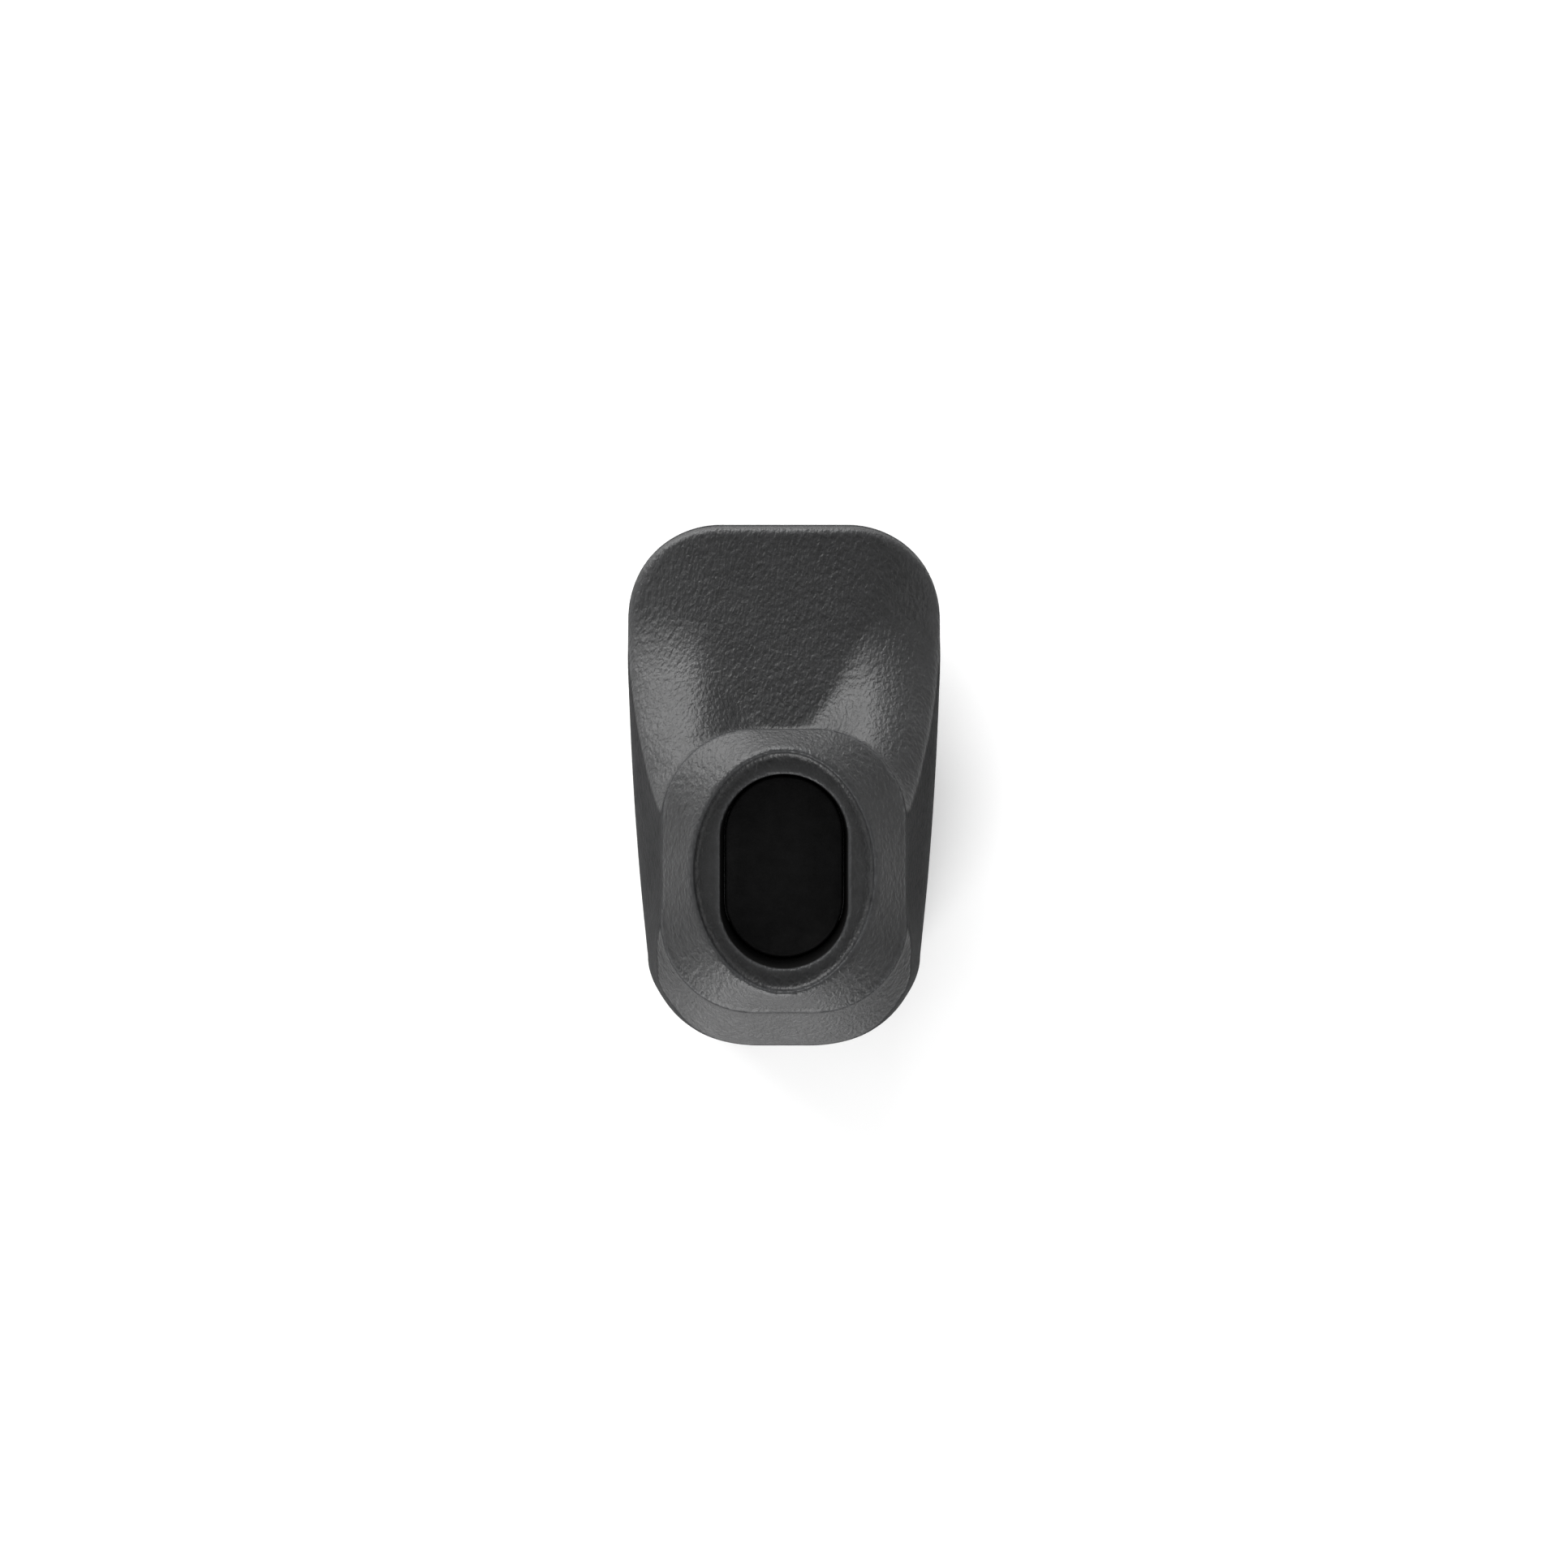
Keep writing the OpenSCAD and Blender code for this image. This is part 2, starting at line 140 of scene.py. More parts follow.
def finishMaterial(tree, colour, roughness, normal, metallic=0.0, specular=0.5, glow=0.0):
    shader = addNode(tree, "ShaderNodeBsdfPrincipled", {"Metallic": metallic, "Emission Strength": glow})
    if glow > 0:
        tree.links.new(colour, shader.inputs["Emission Color"])
    if isinstance(specular, float):
        shader.inputs["Specular IOR Level"].default_value = specular
    else:
        tree.links.new(specular, shader.inputs["Specular IOR Level"])
    tree.links.new(colour, shader.inputs["Base Color"])
    tree.links.new(roughness, shader.inputs["Roughness"])
    tree.links.new(normal, shader.inputs["Normal"])
    output = addNode(tree, "ShaderNodeOutputMaterial")
    connect(tree, shader, "BSDF", output, "Surface")


# the dark skin of the casting: scales per metre, bump depths in metres
castSkin = {
    "dark": (0.0115, 0.0117, 0.0121), "light": (0.019, 0.0193, 0.0200), "worn": (0.040, 0.041, 0.043),
    # the next colour is painted shade for the deep walls of the lock hole and the socket
    "paintedShade": (0.0035, 0.0034, 0.0033),
    "mottleScale": 180.0, "swellScale": 60.0, "swellDepth": 0.0008,
    "rippleScale": 760.0, "rippleTurn": 0.5, "rippleStretch": 0.55, "rippleDepth": 0.00050,
    "pebbleScale": 1300.0, "pebbleDepth": 0.00018,
    "pitScale": 260.0, "pitPatchScale": 35.0, "pitDepth": 0.00025,
    "roughLow": 0.40, "roughHigh": 0.56, "shine": 0.42, "dullRough": 0.28, "dullLoss": 0.85,
}


def makeCastSkin():
    material, tree = newMaterial("castSkin")
    spec = castSkin
    coords = addNode(tree, "ShaderNodeTexCoord").outputs["Object"]
    swell = noiseFrom(tree, coords, spec["swellScale"], 3.0, 0.55).outputs["Fac"]
    mottle = noiseFrom(tree, coords, spec["mottleScale"], 5.0, 0.65).outputs["Fac"]
    colour = mixColours(tree, softTone(tree, mottle, 0.30, 0.70), spec["dark"], spec["light"])
    # convex edges are rubbed brighter
    wear = addNode(tree, "ShaderNodeAttribute", attribute_name="edgeWear").outputs["Fac"]
    patchy = mixValues(tree, "MULTIPLY", wear, mottle)
    colour = mixColours(tree, patchy, colour, spec["worn"])
    # painted shade: the walls of the lock hole and the socket turn near black, for the shade deep inside
    # them
    paintedShade = addNode(tree, "ShaderNodeAttribute", attribute_name="paintedShadeMask").outputs["Fac"]
    colour = mixColours(tree, paintedShade, colour, spec["paintedShade"])
    # fine pebbles of the mould sand, drawn out into short ripples
    stretch = addNode(tree, "ShaderNodeMapping")
    stretch.inputs["Rotation"].default_value = (0.0, 0.0, spec["rippleTurn"])
    stretch.inputs["Scale"].default_value = (1.0, spec["rippleStretch"], 1.0)
    tree.links.new(coords, stretch.inputs["Vector"])
    ripple = noiseFrom(tree, stretch.outputs["Vector"], spec["rippleScale"], 1.0, 0.5, 0.3).outputs["Fac"]
    pebble = noiseFrom(tree, coords, spec["pebbleScale"], 3.0, 0.6).outputs["Fac"]
    # small blow holes, only where the patch noise is high
    cells = addNode(tree, "ShaderNodeTexVoronoi", {"Scale": spec["pitScale"]}, feature="F1")
    tree.links.new(coords, cells.inputs["Vector"])
    pits = softTone(tree, cells.outputs["Distance"], 0.0, 0.16)
    where = noiseFrom(tree, coords, spec["pitPatchScale"], 2.0).outputs["Fac"]
    pitGate = colourRamp(tree, [(0.52, 1.0), (0.60, 0.0)])
    tree.links.new(where, pitGate.inputs["Fac"])
    pitHeight = mixValues(tree, "MAXIMUM", pits, pitGate.outputs["Color"])
    roughBase = mixValues(tree, "MULTIPLY", swell, spec["roughHigh"] - spec["roughLow"])
    rough = mixValues(tree, "ADD", roughBase, spec["roughLow"])
    # the steep flanks, and the walls of the lock hole and the socket where shade is painted, are duller than
    # the top
    dull = addNode(tree, "ShaderNodeAttribute", attribute_name="dullness").outputs["Fac"]
    rough = mixValues(tree, "ADD", rough, mixValues(tree, "MULTIPLY", dull, spec["dullRough"]))
    loss = mixValues(tree, "MULTIPLY", dull, spec["shine"] * spec["dullLoss"])
    shine = mixValues(tree, "SUBTRACT", spec["shine"], loss)
    normal = bumpFrom(tree, ripple, 0.9, spec["rippleDepth"])
    normal = bumpFrom(tree, pebble, 0.60, spec["pebbleDepth"], normal)
    normal = bumpFrom(tree, pitHeight, 0.5, spec["pitDepth"], normal)
    normal = bumpFrom(tree, swell, 0.25, spec["swellDepth"], normal)
    finishMaterial(tree, colour, rough, normal, specular=shine)
    return material


rubber = {
    "clean": (0.024, 0.024, 0.0245), "dusty": (0.052, 0.052, 0.053), "dustScale": 140.0, "dustDepth": 0.0004,
    "grainScale": 900.0, "grainDepth": 0.00015, "roughLow": 0.6, "roughMore": 0.2, "shine": 0.3,
}


def makeRubber():
    material, tree = newMaterial("blackRubber")
    spec = rubber
    coords = addNode(tree, "ShaderNodeTexCoord").outputs["Object"]
    dust = noiseFrom(tree, coords, spec["dustScale"], 6.0, 0.7).outputs["Fac"]
    colour = mixColours(tree, softTone(tree, dust, 0.35, 0.75), spec["clean"], spec["dusty"])
    grain = noiseFrom(tree, coords, spec["grainScale"], 3.0, 0.6).outputs["Fac"]
    rough = mixValues(tree, "ADD", mixValues(tree, "MULTIPLY", dust, spec["roughMore"]), spec["roughLow"])
    normal = bumpFrom(tree, grain, 0.5, spec["grainDepth"])
    normal = bumpFrom(tree, dust, 0.3, spec["dustDepth"], normal)
    finishMaterial(tree, colour, rough, normal, specular=spec["shine"])
    return material


lockSteel = {
    "dark": (0.035, 0.036, 0.039), "light": (0.065, 0.067, 0.071), "cloudScale": 70.0,
    "gritScale": 700.0, "gritDepth": 0.00015, "roughLow": 0.42, "roughMore": 0.2, "metallic": 0.55,
}


def makeLockSteel():
    material, tree = newMaterial("lockSteel")
    spec = lockSteel
    coords = addNode(tree, "ShaderNodeTexCoord").outputs["Object"]
    cloud = noiseFrom(tree, coords, spec["cloudScale"], 5.0, 0.6).outputs["Fac"]
    colour = mixColours(tree, softTone(tree, cloud, 0.3, 0.7), spec["dark"], spec["light"])
    grit = noiseFrom(tree, coords, spec["gritScale"], 4.0, 0.65).outputs["Fac"]
    rough = mixValues(tree, "ADD", mixValues(tree, "MULTIPLY", cloud, spec["roughMore"]), spec["roughLow"])
    normal = bumpFrom(tree, grit, 0.35, spec["gritDepth"])
    finishMaterial(tree, colour, rough, normal, metallic=spec["metallic"])
    return material


turnedMetal = {
    # colours: dark, light, lowest roughness
    "zincSteel": ((0.22, 0.225, 0.235), (0.34, 0.345, 0.355), 0.30),
    "bearingBronze": ((0.33, 0.19, 0.07), (0.45, 0.28, 0.12), 0.28),
}
turning = {
    "ringScale": 2600.0, "ringSpread": 0.08, "ringDepth": 0.0001, "cloudScale": 120.0, "roughMore": 0.22,
}


def makeTurnedMetal(name):
    material, tree = newMaterial(name)
    spec = turning
    dark, light, roughLow = turnedMetal[name]
    coords = addNode(tree, "ShaderNodeTexCoord").outputs["Object"]
    # the lathe's rings run round the upright axis
    squeeze = addNode(tree, "ShaderNodeMapping")
    squeeze.inputs["Scale"].default_value = (spec["ringSpread"], spec["ringSpread"], 1.0)
    tree.links.new(coords, squeeze.inputs["Vector"])
    rings = noiseFrom(tree, squeeze.outputs["Vector"], spec["ringScale"], 3.0, 0.6).outputs["Fac"]
    cloud = noiseFrom(tree, coords, spec["cloudScale"], 4.0, 0.6).outputs["Fac"]
    colour = mixColours(tree, cloud, dark, light)
    rough = mixValues(tree, "ADD", mixValues(tree, "MULTIPLY", cloud, spec["roughMore"]), roughLow)
    finishMaterial(tree, colour, rough, bumpFrom(tree, rings, 0.25, spec["ringDepth"]), metallic=1.0)
    return material


floorPaper = {
    "low": (0.95, 0.95, 0.95), "high": (0.97, 0.97, 0.97), "fibreScale": 30.0, "fibreDepth": 0.0002,
    "roughLow": 0.85, "roughMore": 0.1, "shine": 0.1, "glow": 0.12,
}


def makeFloorPaper():
    material, tree = newMaterial("floorPaper")
    spec = floorPaper
    coords = addNode(tree, "ShaderNodeTexCoord").outputs["Object"]
    fibre = noiseFrom(tree, coords, spec["fibreScale"], 3.0).outputs["Fac"]
    colour = mixColours(tree, fibre, spec["low"], spec["high"])
    rough = mixValues(tree, "ADD", mixValues(tree, "MULTIPLY", fibre, spec["roughMore"]), spec["roughLow"])
    normal = bumpFrom(tree, fibre, 0.02, spec["fibreDepth"])
    finishMaterial(tree, colour, rough, normal, specular=spec["shine"], glow=spec["glow"])
    return material


castSkinMaterial = makeCastSkin()
rubberMaterial = makeRubber()
lockSteelMaterial = makeLockSteel()
zincMaterial = makeTurnedMetal("zincSteel")
bronzeMaterial = makeTurnedMetal("bearingBronze")
slotMaterials = {
    "cast_steel": castSkinMaterial, "lock_steel": lockSteelMaterial, "bright_steel": zincMaterial,
    "bronze": bronzeMaterial, "black_rubber": rubberMaterial,
}
print("materials made:", len(bpy.data.materials))


# the cast tooth, in millimetres
tooth = {
    # the outline seen from above
    "tipY": 128.5, "rearY": 66.0, "bladeHalf": 60.0, "heelHalf": 52.5, "bladeCorner": 36.0,
    "heelCornerX": 43.5, "heelCornerY": 31.0, "taperPower": 1.8,
    # the upright band at the parting line and the flanks above and below it
    "partingZ": 38.0, "tipBand": 3.0, "heelBand": 22.0, "heelBandY": -46.0, "heelBandRun": 20.0,
    "flankSlope": 3.0, "bladeEase": 1.6, "bladeEaseY": 45.0, "bladeEaseRun": 50.0,
    "heelRise": 2.0, "heelRiseY": -5.0, "heelRiseRun": 25.0, "flankBlend": 3.0,
    # the blade and its scoop
    "tipTopZ": 44.0, "scoopRun": 80.0, "scoopRise": 10.0, "scoopPower": 1.7,
    "scoopFlat": 18.0, "fallTip": 0.002, "fallGain": 0.006,
    # the shoulder round the boss, which drops where the scoop runs in
    "shoulderSlope": 1.15, "shoulderDrop": 5.0, "scoopDrop": 33.0, "scoopHalf": 30.0,
    "dropY": 8.0, "dropRun": 28.0, "shoulderLowZ": 58.0,
    "sweep": 8.0, "sweepMore": 20.0, "sweepX": 8.0, "sweepRun": 26.0,
    # the belly
    "tipUnderZ": 30.0, "bellyY": 30.0, "bellyPower": 1.4, "bellySlope": 8.0, "bellyBlend": 8.0,
    # the boss
    "bossTopZ": 98.0, "bandZ": 86.0, "bandHalfX": 42.5, "bandHalfY": 49.3, "bandCorner": 32.0,
    "bandLean": 0.77, "bossRound": 1.4, "bossRootZ": 52.0,
    "recessHalfX": 31.2, "recessHalfY": 41.2, "recessDepth": 2.6, "recessSlope": 0.3, "lip": 1.0,
    "ovalPower": 1.95,
    # the nose socket
    "mouthHalf": 41.0, "blindHalf": 31.0, "mouthFloorZ": 12.0, "mouthRoofZ": 54.0,
    "blindFloorZ": 24.0, "blindRoofZ": 44.0, "blindY": 50.0, "socketCorner": 6.0, "socketEnd": 4.0,
    # the lock hole, its groove and the drift hole
    "slotRadius": 22.0, "slotReach": 11.5, "seatZ": 6.0, "driftRadius": 9.0,
    "grooveRadius": 28.8, "grooveLow": 44.0, "grooveHigh": 55.4,
    # edge rounds of the casting
    "upperRound": 4.5, "lowerRound": 1.8, "bossFillet": 2.2, "socketRound": 2.2, "recessRound": 1.2,
    "lipRound": 0.8, "seatRound": 1.0, "slotRound": 0.35, "grooveRound": 0.7, "driftRound": 0.9,
    # mesh and skin
    "voxel": 1.13, "margin": 3.0, "skinShrink": 0.3, "seamRise": 0.28, "seamHalf": 0.8,
    # slotShade and socketShade set how strong the painted shade is in the lock hole and the socket
    "wearReach": 1.2, "wearGain": 1.6, "slotShade": 0.95, "socketShade": 0.45,
    "steepFrom": 0.5, "steepRun": 0.15,
}


def softMin(a, b, k):
    return np.minimum(a, b) - np.maximum(k - np.abs(a - b), 0.0) ** 2 / (4.0 * k)


def softMax(a, b, k):
    return -softMin(-a, -b, k)


def smoothStep(t):
    c = np.clip(t, 0.0, 1.0)
    return c * c * (3.0 - 2.0 * c)


def roundedBox(x, y, halfX, halfY, corner):
    qx = np.abs(x) - halfX + corner
    qy = np.abs(y) - halfY + corner
    outside = np.hypot(np.maximum(qx, 0.0), np.maximum(qy, 0.0))
    return outside + np.minimum(np.maximum(qx, qy), 0.0) - corner


def ovalDistance(x, y, halfX, halfY):
    # a superellipse, scaled to read as a distance near its edge
    power = tooth["ovalPower"]
    ratio = (np.abs(x / halfX) ** power + np.abs(y / halfY) ** power + 1e-12) ** (1.0 / power)
    reach = np.hypot(x, y) / ratio
    reach = np.where(ratio < 1e-3, min(halfX, halfY), reach)
    return (ratio - 1.0) * reach


def planInset(x, y):
    # distance inwards from the plan outline
    s = tooth
    cornerX, cornerY = s["heelCornerX"], s["heelCornerY"]
    flankStart = s["tipY"] - s["bladeCorner"]
    flankEnd = cornerY - s["rearY"]
    tipFlat = s["bladeHalf"] - s["bladeCorner"]
    rearFlat = s["heelHalf"] - cornerX
    ax = np.abs(x)
    taper = (np.maximum(flankStart - y, 0.0) / (flankStart - flankEnd)) ** s["taperPower"]
    side = s["bladeHalf"] - (s["bladeHalf"] - s["heelHalf"]) * taper - ax
    tip = np.where(ax < tipFlat, s["tipY"] - y, s["bladeCorner"] - np.hypot(ax - tipFlat, y - flankStart))
    a = np.maximum(ax - rearFlat, 0.0) / cornerX
    b = np.minimum(y - flankEnd, 0.0) / cornerY
    span = (cornerX * a * a + cornerY * b * b + 0.01) / (a * a + b * b + 0.01 / cornerX)
    rear = np.where(ax < rearFlat, y + s["rearY"], (1.0 - np.hypot(a, b)) * span)
    return np.where(y > flankStart, tip, np.where(y < flankEnd, rear, side))


def partingBand(y):
    s = tooth
    return s["tipBand"] + s["heelBand"] * smoothStep((s["heelBandY"] - y) / s["heelBandRun"])


def shoulderZ(x, y):
    s = tooth
    out = roundedBox(x, y, s["bandHalfX"], s["bandHalfY"], s["bandCorner"])
    scoop = s["scoopDrop"] * np.exp(-(x / s["scoopHalf"]) ** 2)
    drop = smoothStep((y - s["dropY"]) / s["dropRun"]) * (s["shoulderDrop"] + scoop)
    z = s["bandZ"] - drop - s["shoulderSlope"] * np.abs(out)
    return np.where(out < 0.0, np.maximum(z, s["shoulderLowZ"]), z)


def scoopZ(x, y):
    s = tooth
    run = np.clip((s["tipY"] - y) / s["scoopRun"], 0.0, 1.0)
    fall = (s["fallTip"] + s["fallGain"] * run) * np.maximum(np.abs(x) - s["scoopFlat"], 0.0) ** 2
    return s["tipTopZ"] + s["scoopRise"] * run ** s["scoopPower"] - fall


def topZ(x, y):
    s = tooth
    ease = s["bladeEase"] * smoothStep((y - s["bladeEaseY"]) / s["bladeEaseRun"])
    rise = s["heelRise"] * smoothStep((s["heelRiseY"] - y) / s["heelRiseRun"])
    flank = s["partingZ"] + partingBand(y) + (s["flankSlope"] - ease + rise) * planInset(x, y)
    # the fillet between scoop and shoulder is wide at the sides and tight in the middle
    sweep = s["sweep"] + s["sweepMore"] * smoothStep((np.abs(x) - s["sweepX"]) / s["sweepRun"])
    return softMin(softMax(shoulderZ(x, y), scoopZ(x, y), sweep), flank, s["flankBlend"])


def underZ(x, y):
    s = tooth
    run = np.clip((y - s["bellyY"]) / (s["tipY"] - s["bellyY"]), 0.0, 1.2)
    belly = s["tipUnderZ"] * run ** s["bellyPower"]
    flank = s["partingZ"] - partingBand(y) - s["bellySlope"] * planInset(x, y)
    return softMax(belly, flank, s["bellyBlend"])


def levelling(surface, x, y):
    # turns a height above a slope into a distance from it
    h = 0.25
    dx = (surface(x + h, y) - surface(x - h, y)) / (2 * h)
    dy = (surface(x, y + h) - surface(x, y - h)) / (2 * h)
    return 1.0 / np.sqrt(1.0 + dx * dx + dy * dy)


def bossField(x, y, z, plan):
    s = tooth
    rise = np.clip((z - s["bandZ"]) / (s["bossTopZ"] - s["bandZ"]), 0.0, 1.0)
    wall = plan["band"] * (1.0 - rise) + plan["ovalOut"] * rise
    wall = wall * np.where(z > s["bandZ"], s["bandLean"], 1.0)
    return softMax(softMax(wall, z - s["bossTopZ"], s["bossRound"]), s["bossRootZ"] - z, 1.0)


def slotDistance(x, y):
    s = tooth
    return np.hypot(x, np.maximum(np.abs(y) - s["slotReach"], 0.0)) - s["slotRadius"]


def planOf(x, y):
    # everything that depends only on the place seen from above
    s = tooth
    return {
        "inset": planInset(x, y),
        "top": topZ(x, y), "topScale": levelling(topZ, x, y),
        "under": underZ(x, y), "underScale": levelling(underZ, x, y),
        "band": roundedBox(x, y, s["bandHalfX"], s["bandHalfY"], s["bandCorner"]),
        "ovalOut": ovalDistance(x, y, s["recessHalfX"] + s["lip"], s["recessHalfY"] + s["lip"]),
        "ovalIn": ovalDistance(x, y, s["recessHalfX"], s["recessHalfY"]),
        "slot": slotDistance(x, y), "radius": np.hypot(x, y),
    }


def socketField(x, y, z):
    s = tooth
    t = (y + s["rearY"]) / (s["rearY"] + s["blindY"])
    half = s["mouthHalf"] + (s["blindHalf"] - s["mouthHalf"]) * t
    floor = s["mouthFloorZ"] + (s["blindFloorZ"] - s["mouthFloorZ"]) * t
    roof = s["mouthRoofZ"] + (s["blindRoofZ"] - s["mouthRoofZ"]) * t
    middle, halfZ = (floor + roof) / 2, (roof - floor) / 2
    section = roundedBox(x, z - middle, half, halfZ, s["socketCorner"])
    return softMax(section, y - s["blindY"], s["socketEnd"])


def castingField(x, y, z, plan):
    # negative inside the metal
    s = tooth
    upper = (z - plan["top"]) * plan["topScale"]
    lower = (plan["under"] - z) * plan["underScale"]
    seam = s["seamRise"] * np.exp(-((z - s["partingZ"]) / s["seamHalf"]) ** 2)
    body = softMax(upper, -plan["inset"] - seam, s["upperRound"])
    body = softMax(body, lower, s["lowerRound"]) + s["skinShrink"]
    solid = softMin(body, bossField(x, y, z, plan), s["bossFillet"])
    solid = softMax(solid, -socketField(x, y, z), s["socketRound"])
    depth = s["bossTopZ"] - z
    recess = softMax(plan["ovalIn"] + depth * s["recessSlope"], depth - s["recessDepth"], s["recessRound"])
    solid = softMax(solid, -recess, s["lipRound"])
    lockHole = softMax(plan["slot"], s["seatZ"] - z, s["seatRound"])
    solid = softMax(solid, -lockHole, s["slotRound"])
    level = np.maximum(s["grooveLow"] - z, z - s["grooveHigh"])
    groove = np.maximum(plan["radius"] - s["grooveRadius"], level)
    solid = softMax(solid, -groove, s["grooveRound"])
    drift = np.maximum(plan["radius"] - s["driftRadius"], z - s["seatZ"] - 1.0)
    return softMax(solid, -drift, s["driftRound"])


def fieldAt(points):
    x, y, z = points[:, 0], points[:, 1], points[:, 2]
    return castingField(x, y, z, planOf(x, y))


def fieldSlope(points, step=0.2):
    slope = np.empty_like(points)
    for axis in range(3):
        offset = np.zeros(3)
        offset[axis] = step
        slope[:, axis] = (fieldAt(points + offset) - fieldAt(points - offset)) / (2 * step)
    return slope


def settlePoints(points, rounds=3):
    # slide every vertex along the slope until it lies on the surface
    for _ in range(rounds):
        slope = fieldSlope(points)
        length = np.sum(slope * slope, axis=1) + 1e-6
        move = -fieldAt(points)[:, None] * slope / length[:, None]
        size = np.linalg.norm(move, axis=1, keepdims=True) + 1e-9
        points = points + move * np.minimum(size, 0.6) / size
    return points


def edgeWearOf(points):
    # how convex the surface is, from the turn of the slope
    step = tooth["wearReach"]
    turn = -6.0 * fieldAt(points)
    for axis in range(3):
        offset = np.zeros(3)
        offset[axis] = step
        turn += fieldAt(points + offset) + fieldAt(points - offset)
    return np.clip(turn / (step * step) * tooth["wearGain"], 0.0, 1.0)


def paintedShadeMaskOf(points):
    # painted shade: the walls of the lock hole and of the socket are painted near black, standing in for the
    # shade deep inside them
    s = tooth
    x, y, z = points[:, 0], points[:, 1], points[:, 2]
    recessFloor = s["bossTopZ"] - s["recessDepth"]
    inSlot = smoothStep((0.5 - slotDistance(x, y)) / 0.5) * smoothStep((recessFloor - 0.3 - z) / 0.8)
    inSocket = smoothStep((2.0 - socketField(x, y, z)) / 1.5)
    return np.clip(inSlot * s["slotShade"] + s["socketShade"] * inSocket, 0.0, 1.0)


def dullnessOf(points):
    # steep faces lose their shine
    slope = fieldSlope(points)
    steep = 1.0 - np.abs(slope[:, 2]) / (np.linalg.norm(slope, axis=1) + 1e-6)
    return smoothStep((steep - tooth["steepFrom"]) / tooth["steepRun"])


def storePerVertex(obj, name, values):
    attribute = obj.data.attributes.new(name, "FLOAT", "POINT")
    attribute.data.foreach_set("value", values.astype(np.float32))


def meshFrom(name, points, faces, material):
    mesh = bpy.data.meshes.new(name)
    mesh.from_pydata((points * mm).tolist(), [], faces)
    mesh.validate()
    mesh.polygons.foreach_set("use_smooth", np.ones(len(mesh.polygons), bool))
    mesh.materials.append(material)
    mesh.update()
    obj = bpy.data.objects.new(name, mesh)
    bpy.context.scene.collection.objects.link(obj)
    return obj


def gridQuads():
    # samples the field on a grid and gives the corners and faces of its zero surface
    s = tooth
    step, margin = s["voxel"], s["margin"]
    low = np.array([-s["bladeHalf"] - margin, -s["rearY"] - margin, -margin])
    high = np.array([s["bladeHalf"] + margin, s["tipY"] + margin, s["bossTopZ"] + margin])
    count = np.ceil((high - low) / step).astype(int) + 1
    gridX = (low[0] + step * np.arange(count[0]))[:, None]
    gridY = (low[1] + step * np.arange(count[1]))[None, :]
    gridX, gridY = np.broadcast_arrays(gridX, gridY)
    gridZ = (low[2] + step * np.arange(count[2]))[None, None, :]
    plan = {key: value[:, :, None] for key, value in planOf(gridX, gridY).items()}
    field = castingField(gridX[:, :, None], gridY[:, :, None], gridZ, plan)
    grid = openvdb.FloatGrid(background=5.0)
    grid.copyFromArray(np.clip(field / step, -5.0, 5.0).astype(np.float32))
    vertices, quads = grid.convertToQuads(isovalue=0.0)
    return np.asarray(vertices, float) * step + low, np.asarray(quads, int)


def makeToothCasting():
    corners, faces = gridQuads()
    points = settlePoints(corners)
    # turn the faces outwards by the sign of the enclosed volume
    a, b, c, d = (points[faces[:, i]] for i in range(4))
    volume = np.sum(a * np.cross(b, c)) + np.sum(a * np.cross(c, d))
    if volume < 0:
        faces = faces[:, ::-1]
    obj = meshFrom("toothCasting", points, faces.tolist(), castSkinMaterial)
    # painted shade for the lock hole and the socket; it also dulls their shine
    paintedShade = paintedShadeMaskOf(points)
    storePerVertex(obj, "edgeWear", edgeWearOf(points))
    storePerVertex(obj, "paintedShadeMask", paintedShade)
    storePerVertex(obj, "dullness", np.maximum(paintedShade, dullnessOf(points)))
    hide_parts("tooth_casting")
    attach(obj, "tooth")
    print("tooth casting:", len(faces), "faces")


# the rubber plug, in millimetres: rib places are shares of its height
plug = {
    "sideGap": 0.35, "edgeRound": 0.9, "ribRise": 0.3, "ribPlaces": (0.28, 0.62), "ribHalf": 0.45,
    "ribRoot": 0.1, "footIn": 1.2, "footChamfer": 0.3, "footRise": 0.4, "clear": 0.02,
    "roundSteps": 40, "arcSteps": 6, "faceRings": 10, "dish": 0.35,
}


def obroundRing(radius, reach, steps):
    points = []
    for end in (1, -1):
        for i in range(steps + 1):
            angle = math.pi * i / steps + (0 if end > 0 else math.pi)
            points.append((radius * math.cos(angle), end * reach + radius * math.sin(angle)))
    return points


def loftObround(name, profile, reach, steps, material):
    # profile runs from the middle of the underside, round the edge, to the middle of the top
    vertices, faces = [], []
    ringSize = 2 * (steps + 1)
    for radius, z in profile:
        vertices += [(x, y, z) for x, y in obroundRing(max(radius, 0.02), reach, steps)]
    for ring in range(len(profile) - 1):
        for i in range(ringSize):
            j = (i + 1) % ringSize
            a, b = ring * ringSize, (ring + 1) * ringSize
            faces.append((a + i, a + j, b + j, b + i))
    faces.append(tuple(reversed(range(ringSize))))
    last = (len(profile) - 1) * ringSize
    faces.append(tuple(range(last, last + ringSize)))
    return meshFrom(name, np.array(vertices), faces, material)


